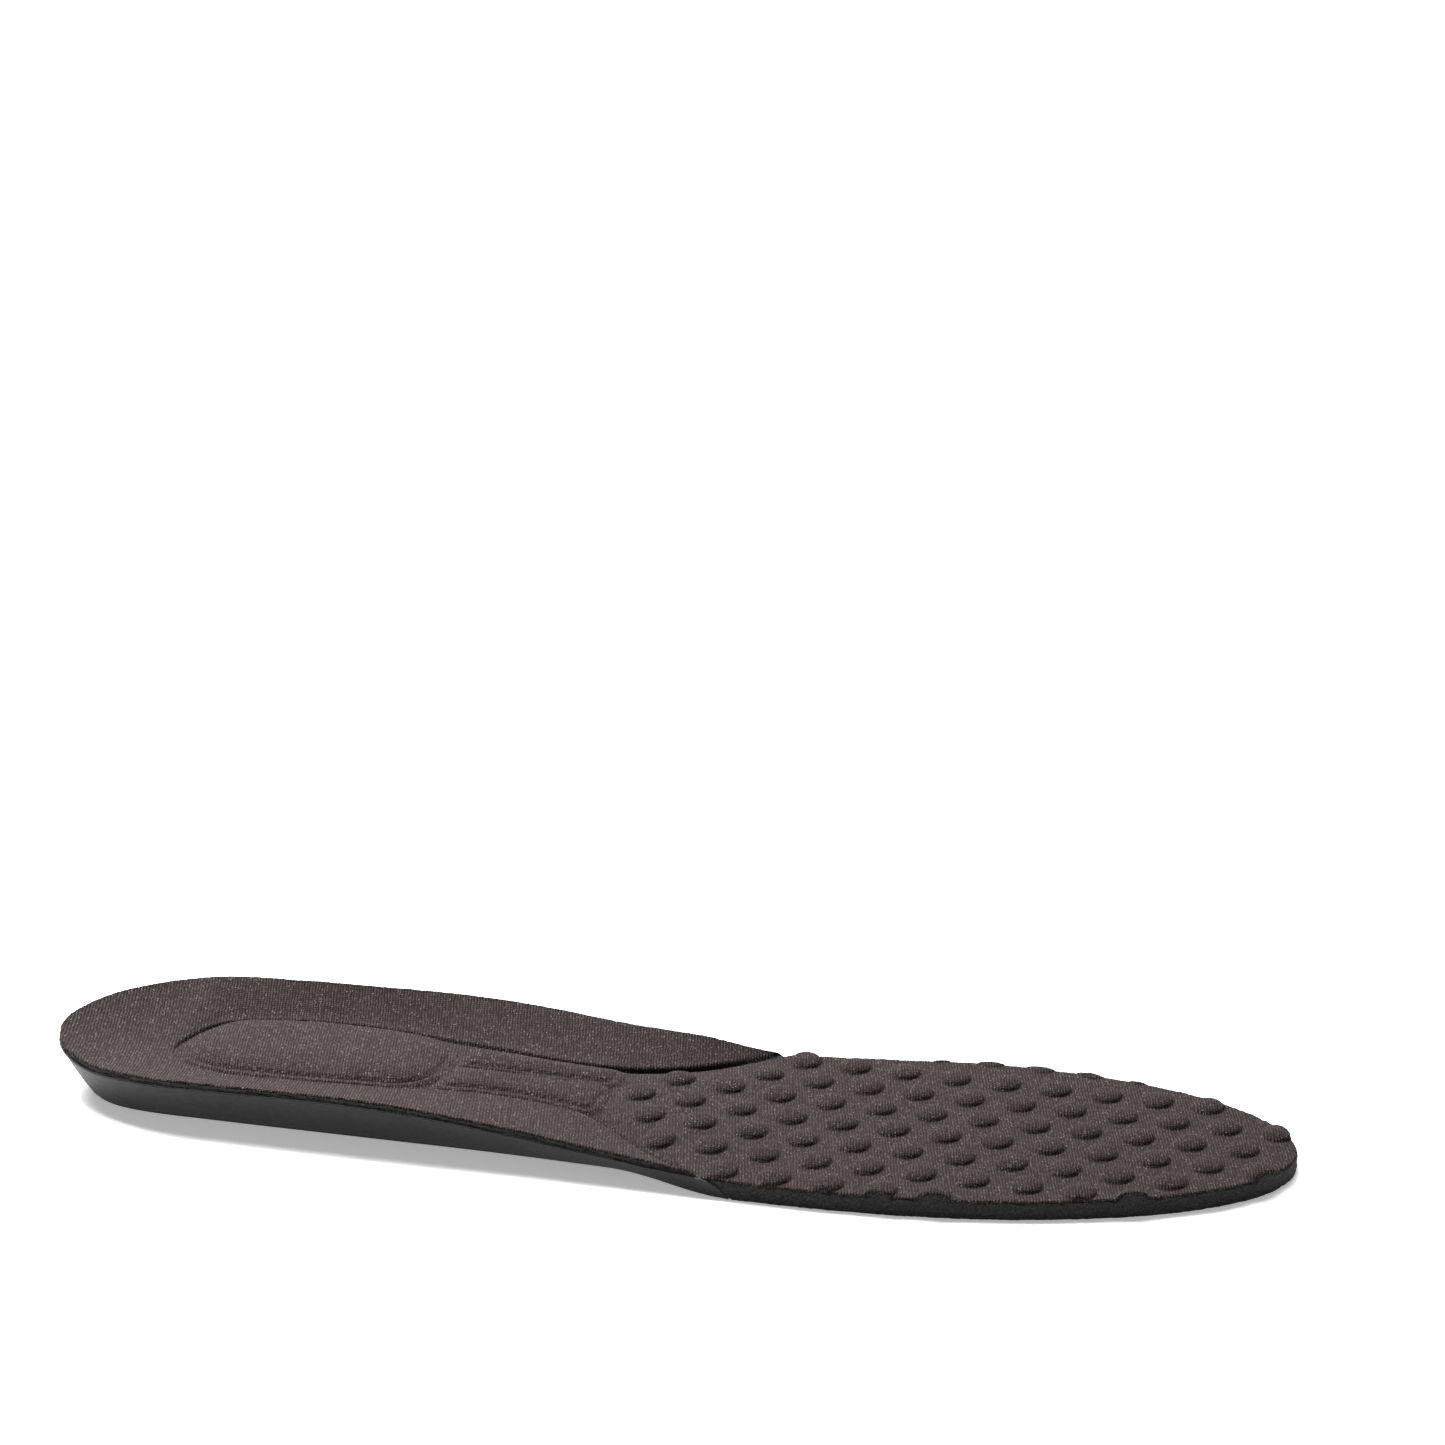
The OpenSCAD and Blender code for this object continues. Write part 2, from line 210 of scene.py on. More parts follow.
def on_grid(rows, points, field):
    """A field of the rows at each point: 2 for the lower height and 3 for the upper."""
    grid = np.array(rows)
    x = grid[:, 0, 0]
    column_x = x[:, None] * np.ones(grid.shape[1])
    slope_y = slopes(column_x, grid[:, :, 1])
    slope_z = slopes(column_x, grid[:, :, field], keep_between=True)
    i = np.clip(np.searchsorted(x, points[:, 0], side="right") - 1, 0, len(x) - 2)
    width = (x[i + 1] - x[i])[:, None]
    t = np.clip((points[:, 0] - x[i])[:, None] / width, 0, 1)
    y = hermite(grid[i, :, 1], grid[i + 1, :, 1], slope_y[i], slope_y[i + 1], width, t).T
    z = hermite(grid[i, :, field], grid[i + 1, :, field], slope_z[i], slope_z[i + 1], width, t).T
    across = slopes(y, z, keep_between=True)
    j = np.clip((y <= points[:, 1]).sum(0) - 1, 0, len(y) - 2)
    k = np.arange(len(points))
    span = y[j + 1, k] - y[j, k]
    share = np.clip((points[:, 1] - y[j, k]) / span, 0, 1)
    return hermite(z[j, k], z[j + 1, k], across[j, k], across[j + 1, k], span, share)


def both_sides(rows, outer=0, arch=-1):
    """A closed run of knots: up the arch edge from the front, and back along the outer edge."""
    arch_side = [row[arch, :2] for row in rows[::-1]]
    outer_side = [row[outer, :2] for row in rows]
    return np.array(arch_side + outer_side)


def cut_corners(loop, corners, radius):
    """The loop with its sharp corners, given as points, replaced by short arcs."""
    for corner in corners:
        away = np.linalg.norm(loop - corner, axis=1)
        start = int(np.argmin(away))
        turned = np.roll(loop, -start, axis=0)
        away = np.roll(away, -start)
        first = int(np.argmax(away > radius))
        last = len(turned) - int(np.argmax(away[::-1] > radius)) - 1
        a, b = turned[last], turned[first]
        t = np.linspace(0, 1, 14)[1:-1, None]
        arc = a * (1 - t) ** 2 + corner * 2 * t * (1 - t) + b * t * t
        loop = np.vstack([turned[first:last + 1], arc])
    return loop


def piece_outline(rows, radius, corners):
    """A raised piece's plan from its CAD rows, with the named corners (row, column) rounded."""
    sides = []
    for column in (0, -1):
        knots = np.array([row[column, :2] for row in rows])
        sides.append(smooth_curve(knots, 0.5))
    rear = np.linspace(sides[1][0], sides[0][0], 12)[1:-1]
    front = np.linspace(sides[0][-1], sides[1][-1], 24)[1:-1]
    loop = np.vstack([sides[0], front, sides[1][::-1], rear])
    return cut_corners(loop, [rows[i][j, :2] for i, j in corners], radius)


# ---------------------------------------------------------------- what the CAD layers say

SHEET = node_rows("comfort_foam")
PAD = node_rows("heel_pad")
BARS = {side: node_rows(f"arch_bar_{side}") for side in ("medial", "lateral")}
COLLAR = node_rows("heel_collar")
COVER_T = (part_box("top_cover")[1].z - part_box("heel_collar")[1].z) / MM

OUTLINE = smooth_curve(both_sides(SHEET), RIM_STEP, closed=True)
ROUGH_OUTLINE = smooth_curve(both_sides(SHEET), 2.5, closed=True)
WING_END = COLLAR[-1][0, 0]
BASE_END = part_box("heel_base")[1].x / MM


def collar_thickness():
    """The sheet's rows with the collar's thickness as their heights."""
    rows = [row.copy() for row in SHEET]
    for row in rows:
        row[:, 2:] = 0
    for row, found in zip(rows, COLLAR):
        thick = found[:, 3] - found[:, 2]
        if len(found) < len(row):
            side = len(found) // 2
            middle = (len(row) - 2 * side) // 2
            thick = np.concatenate([thick[:side], [thick[side - 1]] * middle,
                                    [thick[side]] * middle, thick[side:]])
        row[:, 2:] = thick[:, None]
    return rows


COLLAR_T = collar_thickness()


def collar_loop():
    """The collar's inner edge, carried straight on past the rim at the tips of its wings."""
    inner = [row for row in COLLAR if len(row) == 6]
    heel = [row for row in COLLAR if len(row) > 6][-1]
    outer = np.array([heel[2, :2]] + [row[2, :2] for row in inner])
    arch = np.array([heel[-3, :2]] + [row[3, :2] for row in inner])
    past = 14
    outer_tip = outer[-1] + past * (outer[-1] - outer[-2]) / np.linalg.norm(outer[-1] - outer[-2])
    arch_tip = arch[-1] + past * (arch[-1] - arch[-2]) / np.linalg.norm(arch[-1] - arch[-2])
    knots = np.vstack([arch_tip, arch[::-1], outer, outer_tip])
    edge = smooth_curve(knots, 1.0)
    front = cad_box[1].x / MM + past
    outer_side, arch_side = cad_box[0].y / MM - past, cad_box[1].y / MM + past
    round_forefoot = [[outer_tip[0], outer_side], [front, outer_side],
                      [front, arch_side], [arch_tip[0], arch_side]]
    return np.vstack([edge, round_forefoot])


LOOP = collar_loop()
PAD_LOOP = piece_outline(PAD, PAD_CORNER, [(-1, 0), (-1, -1)])
BAR_LOOPS = {
    side: piece_outline(rows, BAR_CORNER, [(0, 0), (0, -1), (-1, 0), (-1, -1)])
    for side, rows in BARS.items()
}


def node_solids(name):
    """The plan box (low corner, high corner) and heights of each separate solid in a node."""
    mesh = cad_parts[name].data
    co = np.empty(3 * len(mesh.vertices), np.float32)
    mesh.vertices.foreach_get("co", co)
    edges = np.empty(2 * len(mesh.edges), np.int32)
    mesh.edges.foreach_get("vertices", edges)
    points, same = np.unique((co.reshape(-1, 3) / MM).round(2), axis=0, return_inverse=True)
    links = same.ravel()[edges].reshape(-1, 2)
    label = np.arange(len(points))
    while True:
        lowest = label.copy()
        np.minimum.at(lowest, links[:, 0], label[links[:, 1]])
        np.minimum.at(lowest, links[:, 1], label[links[:, 0]])
        if (lowest == label).all():
            break
        label = lowest
    return [(points[label == k].min(0), points[label == k].max(0)) for k in np.unique(label)]


ROWS = [f"dome_row_{k}" for k in range(1, 9)]


def dome_lattice():
    """For each row, its domes as (centre, box centre, share of the full height), and a whole
    dome's half sizes."""
    solids = {name: node_solids(name) for name in ROWS}
    sizes = np.array([high - low for boxes in solids.values() for low, high in boxes])
    size = np.array([*sizes.max(0)[:2], np.median(sizes[:, 2])])
    whole = {
        name: np.array(sorted(
            ((low + high) / 2)[:2].tolist()
            for low, high in boxes if (high - low > size - 0.1)[:2].all()))
        for name, boxes in solids.items()
    }
    filled = [name for name in ROWS if len(whole[name])]
    pitch = np.median(np.concatenate([np.diff(whole[name][:, 0]) for name in filled]))
    row_step = whole[filled[0]][0] - whole[filled[1]][0]
    rows = {}
    for k, name in enumerate(ROWS):
        if len(whole[name]):
            anchor = whole[name][0]
        else:
            near_foot = min(low[1] for low, _ in solids[name])
            anchor = np.array([(whole[ROWS[k + 1]][0] + row_step)[0], near_foot + size[1] / 2])
        full = np.median([high[2] - low[2] for low, high in solids[name]])
        rows[name] = []
        for low, high in solids[name]:
            middle = ((low + high) / 2)[:2]
            turns = round((middle[0] - anchor[0]) / pitch)
            centre = np.array([anchor[0] + pitch * turns, anchor[1]])
            rows[name].append((centre, middle, min(1, full / size[2])))
    # An eight-sided CAD sphere's flats lie inside the true one by this share
    return rows, size / math.cos(math.pi / 8) * [0.5, 0.5, 1]


DOMES, DOME_HALF = dome_lattice()
CENTRES = np.array([centre for row in DOMES.values() for centre, _, _ in row])
DOME_SHARE = [share for row in DOMES.values() for _, _, share in row]


# ---------------------------------------------------------------- heights

def wall(t):
    """A pillow's profile from 0 at its foot, where it is steep, to 1 at its top."""
    return (1 - (1 - np.clip(t, 0, 1)) ** 2.3) ** 0.55


def swell(points):
    """Slow, seeded unevenness, from -1 to 1."""
    rng = np.random.default_rng(11)
    total = np.zeros(len(points))
    for _ in range(9):
        angle, phase = rng.uniform(0, 2 * math.pi, 2)
        length = rng.uniform(9, 38)
        along = points @ [math.cos(angle), math.sin(angle)]
        total += np.sin(2 * math.pi * along / length + phase)
    return total / 4


def sheet_top(points):
    return on_grid(SHEET, points, 3)


def sheet_under(points):
    return np.where(points[:, 0] > BASE_END + 1, 0, on_grid(SHEET, points, 2))


def raised(points, ground, rows, loop, width, crown):
    """The ground lifted to a raised piece's top inside its loop."""
    depth = depth_in(points, loop, reach=1) + WALL_CLOTH
    on = depth > 0
    top = on_grid([row[1:-1] for row in rows[1:-1]], points[on], 3)
    rise = wall(depth[on] / width)
    lifted = ground.copy()
    lifted[on] += np.maximum(0, top - ground[on]) * rise
    lifted[on] += crown * (ease(depth[on] / (CROWN_WALLS * width)) - 0.5) * rise
    return lifted


def foam_top(points):
    """The height of whatever foam lies under the cover."""
    ground = sheet_top(points)
    depth = depth_in(points, LOOP)
    thick = on_grid(COLLAR_T, points, 3)
    height = ground + thick * ease(COLLAR_FOOT - depth / COLLAR_WALL)
    share = ease((points[:, 0] - GROOVE_FADE[0]) / (GROOVE_FADE[1] - GROOVE_FADE[0]))
    height -= GROOVE_DEPTH * share * np.exp(-((depth - GROOVE_PLACE) / GROOVE_WIDTH) ** 2)
    height = raised(points, height, PAD, PAD_LOOP, PAD_WALL, PAD_CROWN)
    for side, rows in BARS.items():
        height = raised(points, height, rows, BAR_LOOPS[side], BAR_WALL, BAR_CROWN)
    return height + CLOTH_SWELL * swell(points)


def dome_lift(points, skin=0.0):
    """How far the domes lift the point, skin wider all round than the foam domes."""
    lift = np.zeros(len(points))
    half = DOME_HALF[:2] + skin
    for centre, share in zip(CENTRES, DOME_SHARE):
        near = np.nonzero((np.abs(points - centre) < half).all(1))[0]
        r2 = (((points[near] - centre) / half) ** 2).sum(1)
        bump = share * DOME_HALF[2] * np.clip(1 - r2, 0, 1) ** DOME_POWER
        lift[near] = np.maximum(lift[near], bump)
    return lift


def cloth_top(points):
    return foam_top(points) + COVER_T + dome_lift(points, COVER_T)


def cloth_under(points):
    return foam_top(points) + dome_lift(points)


# ---------------------------------------------------------------- mesh making

def lattice(loop, spacing, margin):
    """Points of a triangular lattice inside a loop, at least a margin from it."""
    low, high = loop.min(0), loop.max(0)
    rows = np.arange(low[1], high[1], spacing * math.sqrt(3) / 2)
    columns = np.arange(low[0], high[0], spacing)
    x, y = np.meshgrid(columns, rows)
    x[::2] += spacing / 2
    points = np.column_stack([x.ravel(), y.ravel()])
    return points[depth_in(points, loop) > margin]


def cap(ring, inner):
    """Triangles over a ring of points and the points inside it, numbered in that order."""
    points = np.vstack([ring, inner])
    count = len(ring)
    edges = [(i, (i + 1) % count) for i in range(count)]
    made, _, faces, source, _, _ = delaunay_2d_cdt(
        [Vector(p) for p in points], edges, [], 0, 1e-6)
    if len(made) != len(points):
        raise ValueError(f"a cap's outline crosses itself: {len(points)} points made {len(made)}")
    source = np.array([s[0] for s in source])
    faces = source[np.array(faces)]
    centres = points[faces].mean(1)
    return faces[is_inside(centres, ring)]


def thin_loop(loop, spacing):
    """Every so many points of a fine loop, about spacing apart."""
    length = np.linalg.norm(np.diff(loop, axis=0), axis=1).sum()
    return loop[::max(1, int(spacing / (length / len(loop))))]


def solid(rings, top, under, top_spacing, under_spacing=UNDER_GRID, top_points=None):
    """A closed form as (points, faces): rings (rows, count, 3) from its top edge to its lower
    edge, with heights top(points) and under(points) inside them. top_points are used inside
    the top edge in place of an even grid."""
    rows, count = rings.shape[:2]
    points, faces = [rings.reshape(-1, 3)], []
    for r in range(rows - 1):
        a = r * count + np.arange(count)
        b = r * count + np.roll(np.arange(count), -1)
        faces += np.column_stack([a, a + count, b + count, b]).tolist()
    used = rows * count
    for ring, start, height, spacing, up in (
        (rings[0], 0, top, top_spacing, True),
        (rings[-1], (rows - 1) * count, under, under_spacing, False),
    ):
        coarse = thin_loop(ring[:, :2], 1.5)
        inner = top_points if up and top_points is not None else lattice(
            coarse, spacing, 0.55 * spacing)
        triangles = cap(ring[:, :2], inner)
        z = height(inner)
        numbers = np.concatenate([start + np.arange(count), used + np.arange(len(inner))])
        triangles = numbers[triangles]
        faces += (triangles if up else triangles[:, ::-1]).tolist()
        points.append(np.column_stack([inner, z]))
        used += len(inner)
    return np.vstack(points), faces


def is_clockwise(loop):
    """Whether a closed loop of plan points runs clockwise."""
    ahead = np.roll(loop, -1, axis=0)
    return (loop[:, 0] * ahead[:, 1] - ahead[:, 0] * loop[:, 1]).sum() < 0


def beside(loop, depths, spacing=0.5):
    """Points at set depths inside a loop, spacing apart along it."""
    loop = loop[::-1] if is_clockwise(loop) else loop
    closed = np.vstack([loop, loop[:1]])
    along = np.concatenate([[0], np.cumsum(np.linalg.norm(np.diff(closed, axis=0), axis=1))])
    at = np.arange(0, along[-1] - spacing / 2, spacing)
    even = np.column_stack([np.interp(at, along, closed[:, k]) for k in (0, 1)])
    normal = outward(even)
    return [even - depth * normal for depth in depths]


def cloth_points():
    """The cover's points: an even grid, with rows along every wall and round every dome."""
    raised_depths = [-0.6, -0.36, -0.28, -0.15, 0.05, 0.3, 0.6, 0.95, 1.35, 1.8]
    collar_depths = [-0.55, -0.3, -0.12, 0.04, 0.22, 0.5, 0.85]
    dome_shares = [1.06, 1.0, 0.97, 0.92, 0.84, 0.72, 0.56, 0.36, 0.15]
    clear = 0.25            # the grid keeps about this far from the outermost rows
    rows_end = WING_END + 6
    points = lattice(thin_loop(OUTLINE, 1.5), CLOTH_GRID, 0.55 * CLOTH_GRID)
    raised_loops = [PAD_LOOP, *BAR_LOOPS.values()]
    added = []
    for loop in raised_loops:
        depth = depth_in(points, loop, reach=1)
        points = points[(depth < raised_depths[0] - clear) | (depth > raised_depths[-1] + 0.3)]
        added += beside(loop, raised_depths)
    depth = depth_in(points, LOOP)
    beyond = points[:, 0] > rows_end
    points = points[(depth < collar_depths[0] - clear) | (depth > collar_depths[-1] + 0.35) | beyond]
    rows = np.vstack(beside(LOOP, collar_depths))
    rows = rows[rows[:, 0] < rows_end]
    for loop in raised_loops:
        rows = rows[depth_in(rows, loop, reach=1) < -0.8]
    added.append(rows)
    half = DOME_HALF[:2] + COVER_T
    for centre in CENTRES:
        points = points[(((points - centre) / half) ** 2).sum(1) > 1.18]
        for share in dome_shares:
            count = max(6, int(25 * share / 0.52))
            # Each ring starts at another angle, so that no seam runs up the dome
            turn = np.linspace(0, 2 * math.pi, count, endpoint=False) + share * 9
            ring = centre + share * half * np.column_stack([np.cos(turn), np.sin(turn)])
            added.append(ring)
    added = np.vstack(added)
    added = added[depth_in(added, OUTLINE) > 0.35]
    points = np.vstack([points, added])
    least_apart = 0.12
    _, first = np.unique((points / least_apart).round(), axis=0, return_index=True)
    return points[np.sort(first)]


def make_piece(name, parts, material, node_names, crease=55):
    """An object from one or more (points, faces) solids, riding on the body."""
    mesh = bpy.data.meshes.new(name)
    points, faces, used = [], [], 0
    for part_points, part_faces in parts:
        points.append(part_points)
        faces += [[i + used for i in face] for face in part_faces]
        used += len(part_points)
    mesh.from_pydata((np.vstack(points) * MM).tolist(), [], faces)
    mesh.polygons.foreach_set("use_smooth", [True] * len(mesh.polygons))
    mesh.set_sharp_from_angle(angle=math.radians(crease))
    mesh.materials.append(material)
    mesh.update()
    piece = bpy.data.objects.new(name, mesh)
    bpy.context.scene.collection.objects.link(piece)
    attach(piece, "root")
    if node_names:
        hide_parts(*node_names)
    return piece


def outward(loop):
    """The direction out of a counter-clockwise loop at each of its points."""
    along = np.roll(loop, -1, axis=0) - np.roll(loop, 1, axis=0)
    along /= np.linalg.norm(along, axis=1)[:, None]
    return np.column_stack([along[:, 1], -along[:, 0]])


def ripple(count, wave, rng):
    """A closed run of smooth random values from about -1 to 1, wave points to a ripple."""
    knots = rng.uniform(-1, 1, max(4, round(count / wave)))
    t = np.arange(count) * len(knots) / count
    i = t.astype(int)
    f = ease(t - i)
    return knots[i] * (1 - f) + knots[(i + 1) % len(knots)] * f


def ragged_wall(loop, high, low, rows, rough, rng, round_off=0.0):
    """Rings down a rough cut face from heights high to low over a loop of points."""
    normal = outward(loop)
    count = len(loop)
    slow = 0.5 * ripple(count, 9, rng) + 0.3 * ripple(count, 4, rng)
    rings = []
    for r, t in enumerate(np.linspace(0, 1, rows)):
        fine = rng.normal(0, 0.42, count)
        fine = 0.6 * fine + 0.4 * np.roll(fine, 1)
        out = rough * (slow + fine - 0.4)
        at_edge = 1 if r in (0, rows - 1) else 0
        place = loop + normal * (out - round_off * at_edge)[:, None]
        z = high + (low - high) * t
        if not at_edge:
            z = z + 0.25 * (low - high) / rows * rng.uniform(-1, 1, count)
        rings.append(np.column_stack([place, z]))
    return np.array(rings)


# ---------------------------------------------------------------- materials

class Nodes:
    """A material's node tree, with one call for each kind of node used here."""

    def __init__(self, name, **surface):
        self.material = bpy.data.materials.new(name)
        self.material.use_nodes = True
        self.tree = self.material.node_tree
        self.surface = self.tree.nodes["Principled BSDF"]
        for socket, value in surface.items():
            self.surface.inputs[socket.replace("_", " ")].default_value = value
        self.place = self.add("ShaderNodeTexCoord").outputs["Object"]

    def add(self, kind, inputs=(), **settings):
        node = self.tree.nodes.new(kind)
        for key, value in settings.items():
            setattr(node, key, value)
        for socket, value in dict(inputs).items():
            if isinstance(value, bpy.types.NodeSocket):
                self.tree.links.new(value, node.inputs[socket])
            else:
                node.inputs[socket].default_value = value
        return node

    def math(self, operation, a, b=0.0, c=0.0):
        return self.add("ShaderNodeMath", {0: a, 1: b, 2: c}, operation=operation).outputs[0]

    def noise(self, size, detail=2.0, place=None, roughness=0.5):
        """Noise whose blotches are about size millimetres across, from 0 to 1."""
        inputs = {
            "Vector": place or self.place, "Scale": 1 / (size * MM),
            "Detail": detail, "Roughness": roughness,
        }
        return self.add("ShaderNodeTexNoise", inputs).outputs["Fac"]

    def cells(self, size, place=None):
        """Round cells about size millimetres across, with their Distance and Color."""
        inputs = {"Vector": place or self.place, "Scale": 1 / (size * MM)}
        return self.add("ShaderNodeTexVoronoi", inputs)

    def mix(self, share, a, b):
        """Colour a carried to colour b by the share."""
        return self.add("ShaderNodeMix", {0: share, 6: a, 7: b}, data_type="RGBA").outputs[2]

    def ramp(self, value, low, high):
        """value carried from low..high to 0..1."""
        inputs = {"Value": value, "From Min": low, "From Max": high}
        return self.add("ShaderNodeMapRange", inputs).outputs["Result"]

    def bump(self, height, depth, strength=1.0):
        inputs = {"Height": height, "Distance": depth * MM, "Strength": strength}
        return self.add("ShaderNodeBump", inputs).outputs["Normal"]

    def out(self, **sockets):
        for socket, value in sockets.items():
            self.tree.links.new(value, self.surface.inputs[socket.replace("_", " ")])
        return self.material


def grey(value, tint=(1.0, 1.0, 1.0)):
    """A linear colour of a brightness, with an optional tint."""
    return (value * tint[0], value * tint[1], value * tint[2], 1)


BROWN = (1.25, 0.93, 0.91)
GREENISH = (0.97, 1.0, 0.98)
BLUISH = (0.98, 1.0, 1.02)
PALE_BLUE = (0.95, 1.0, 1.06)
WALE = 0.64             # width of a column of knit stitches
COURSE = 0.6            # height of a stitch
WALE_TURN = math.radians(14)


def knit_material():
    """Fine jersey: columns of V stitches, with painted highlights: bright specks in the colour as
    fibre glints.
    """
    m = Nodes(
        "knit", Roughness=0.9, Sheen_Weight=0.055, Sheen_Roughness=0.5,
        Sheen_Tint=(1.0, 0.74, 0.72, 1), Specular_IOR_Level=0.06)
    wander = m.add(
        "ShaderNodeTexNoise", {"Vector": m.place, "Scale": 1 / (2.4 * MM), "Detail": 2.0})
    shift = m.add(
        "ShaderNodeVectorMath", {0: wander.outputs["Color"], 1: (0.5, 0.5, 0.5)},
        operation="SUBTRACT").outputs[0]
    place = m.add(
        "ShaderNodeVectorMath", {0: shift, 1: (0.0006,) * 3, 2: m.place},
        operation="MULTIPLY_ADD").outputs[0]
    turned = m.add(
        "ShaderNodeVectorRotate", {"Vector": place, "Angle": -WALE_TURN},
        rotation_type="Z_AXIS").outputs[0]
    axes = m.add("ShaderNodeSeparateXYZ", {0: turned})
    across = m.math("DIVIDE", axes.outputs["X"], WALE * MM)
    along = m.math("DIVIDE", axes.outputs["Y"], COURSE * MM)
    half = m.math("PINGPONG", across, 0.5)
    rib = m.math("SINE", m.math("MULTIPLY", half, math.pi))
    slanted = m.math("MULTIPLY_ADD", half, 0.8, along)
    wave = m.math("SINE", m.math("MULTIPLY", slanted, 2 * math.pi))
    stitch = m.math("MULTIPLY_ADD", wave, 0.5, 0.5)
    yarn = m.math("MULTIPLY", m.math("POWER", rib, 1.3), m.math("MULTIPLY_ADD", stitch, 0.4, 0.6))
    drawn = m.add(
        "ShaderNodeVectorMath", {0: turned, 1: (1.0, 0.5, 1.0)}, operation="MULTIPLY").outputs[0]
    fuzz = m.noise(0.3, 3.0, place=drawn)
    height = m.math("MULTIPLY_ADD", fuzz, 0.5, yarn)
    tone = m.mix(m.ramp(height, 0.3, 1.2), grey(0.0005, BROWN), grey(0.078, BROWN))
    heather = m.ramp(m.noise(0.6, 2.0, place=drawn), 0.4, 0.64)
    tone = m.mix(m.math("MULTIPLY", heather, 0.85), m.mix(0.75, tone, grey(0.002, BROWN)), tone)
    blotch = m.ramp(m.noise(7.0, 3.0), 0.2, 0.8)
    tone = m.mix(0.2, tone, m.mix(blotch, grey(0.010, BROWN), grey(0.034, BROWN)))
    # Painted highlight: sparse bright specks painted into the colour, standing in for the glints of
    # synthetic fibres
    painted_glint_cells = m.cells(0.34, place=drawn)
    glint_picked = m.math("GREATER_THAN", m.add(
        "ShaderNodeSeparateColor", {0: painted_glint_cells.outputs["Color"]}).outputs[0], 0.88)
    glint_dot = m.ramp(painted_glint_cells.outputs["Distance"], 0.45, 0.15)
    tone = m.mix(m.math("MULTIPLY", glint_picked, glint_dot), tone, grey(0.18, (1.0, 0.93, 0.9)))
    return m.out(Base_Color=tone, Normal=m.bump(height, 0.28, 1.0))


def cut_foam_material():
    """Black foam where a blade opened its cells."""
    m = Nodes("cut_foam", Roughness=0.85, Specular_IOR_Level=0.35)
    cell = m.cells(0.55)
    fine = m.noise(0.3, 4.0, roughness=0.65)
    open_cell = m.ramp(cell.outputs["Distance"], 0.1, 0.75)
    speck = m.ramp(fine, 0.5, 0.72)
    tone = m.mix(open_cell, grey(0.003), grey(0.013, GREENISH))
    tone = m.mix(m.math("MULTIPLY", speck, 0.6), tone, grey(0.05, GREENISH))
    height = m.math("ADD", open_cell, fine)
    return m.out(Base_Color=tone, Normal=m.bump(height, 0.22, 0.9))


def moulded_foam_material():
    """The base's skin: dark grey, close and slightly satin, with a fine grain."""
    m = Nodes("moulded_foam", Roughness=0.55, Specular_IOR_Level=0.4)
    grain = m.noise(0.8, 5.0, roughness=0.85)
    cloud = m.noise(9.0, 3.0)
    tone = m.mix(m.ramp(grain, 0.38, 0.62), grey(0.001, BLUISH), grey(0.016, BLUISH))
    tone = m.mix(m.math("MULTIPLY", m.ramp(cloud, 0.35, 0.7), 0.35), tone, grey(0.020))
    rough = m.add("ShaderNodeMapRange", {"Value": grain, "To Min": 0.45, "To Max": 0.68})
    return m.out(
        Base_Color=tone, Roughness=rough.outputs["Result"], Normal=m.bump(grain, 0.25, 1.0))


def pad_foam_material():
    """Fine grey foam of the raised pieces, which the cover hides."""
    m = Nodes("pad_foam", Roughness=0.8)
    cell = m.cells(0.35).outputs["Distance"]
    tone = m.mix(m.ramp(cell, 0.1, 0.7), grey(0.10, PALE_BLUE), grey(0.2, PALE_BLUE))
    return m.out(Base_Color=tone, Normal=m.bump(cell, 0.1, 0.7))


KNIT = knit_material()
CUT_FOAM = cut_foam_material()
MOULDED_FOAM = moulded_foam_material()
PAD_FOAM = pad_foam_material()


# ---------------------------------------------------------------- pieces

def make_cover():
    """The knit cover: a sheet over every raised piece, with a rough cut edge whose lower half
    shows the foam's colour. Also returns its upper edge."""
    rng = np.random.default_rng(3)
    top_ring = OUTLINE - 0.1 * outward(OUTLINE)
    high, low = cloth_top(top_ring), cloth_under(OUTLINE) + GAP
    rings = ragged_wall(OUTLINE, high - EDGE_ROUND, low, 3, CLOTH_RAGGED, rng, EDGE_ROUND)
    rings[0, :, 2] = high - 0.06 * rng.uniform(0, 1, len(high))
    form = solid(
        rings, cloth_top, lambda p: cloth_under(p) + GAP, CLOTH_GRID, top_points=cloth_points())
    piece = make_piece("knit_cover", [form], KNIT, ["top_cover"], crease=75)
    piece.data.materials.append(CUT_FOAM)
    lower_band = piece.data.polygons[len(OUTLINE):2 * len(OUTLINE)]
    for face in lower_band:
        face.material_index = 1
    return piece, rings[0]


def make_sheet_foam():
    """The full-length foam sheet; in front its whole thickness shows at the cut edge."""
    rng = np.random.default_rng(5)
    high = sheet_top(OUTLINE)
    in_collar = OUTLINE[:, 0] < WING_END + 2
    high = np.where(in_collar, high, cloth_under(OUTLINE)) - GAP
    low = sheet_under(OUTLINE)
    rings = ragged_wall(OUTLINE, high, low, 8, FOAM_RAGGED, rng, 0.06)
    form = solid(rings, lambda p: sheet_top(p) - GAP, sheet_under, UNDER_GRID)
    return make_piece("sheet_foam", [form], CUT_FOAM, ["comfort_foam"], crease=80)


